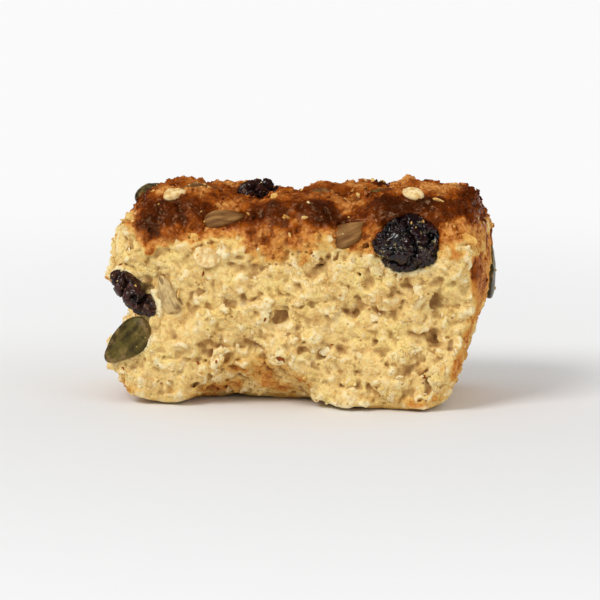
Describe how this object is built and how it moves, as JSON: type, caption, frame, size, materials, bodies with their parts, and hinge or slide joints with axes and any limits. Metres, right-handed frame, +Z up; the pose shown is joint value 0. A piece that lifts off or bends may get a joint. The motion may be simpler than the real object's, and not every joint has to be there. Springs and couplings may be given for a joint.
{
  "type": "rusk",
  "caption": "Oblong muesli rusk of dried, tray-baked dough with a browned lobed crust, broken crumb faces, baked-in seeds, dried fruit and a piece of almond.",
  "frame": {"origin": "centre of the underside, on the surface that the rusk rests on", "axes": "+X along the rusk, towards the end that is tray-side crust; -Y is the broken face of the picture; +Z up, towards the browned top"},
  "size_m": [0.0788, 0.0398, 0.0444],
  "materials": {
    "rusk": "dry crumb, browned and slightly glossy on the crust",
    "berry": "wrinkled and glossy",
    "raisin": "wrinkled and slightly glossy",
    "cranberry": "wrinkled and slightly glossy",
    "almond": "matt broken nut"
  },
  "bodies": {
    "root": {"rusk": "rusk", "berry_front": "berry", "raisin_left_end": "raisin", "raisin_top_left": "raisin", "cranberry_top_right": "cranberry", "raisin_back": "raisin", "cranberry_back": "cranberry", "almond_back": "almond"}
  },
  "joints": []
}
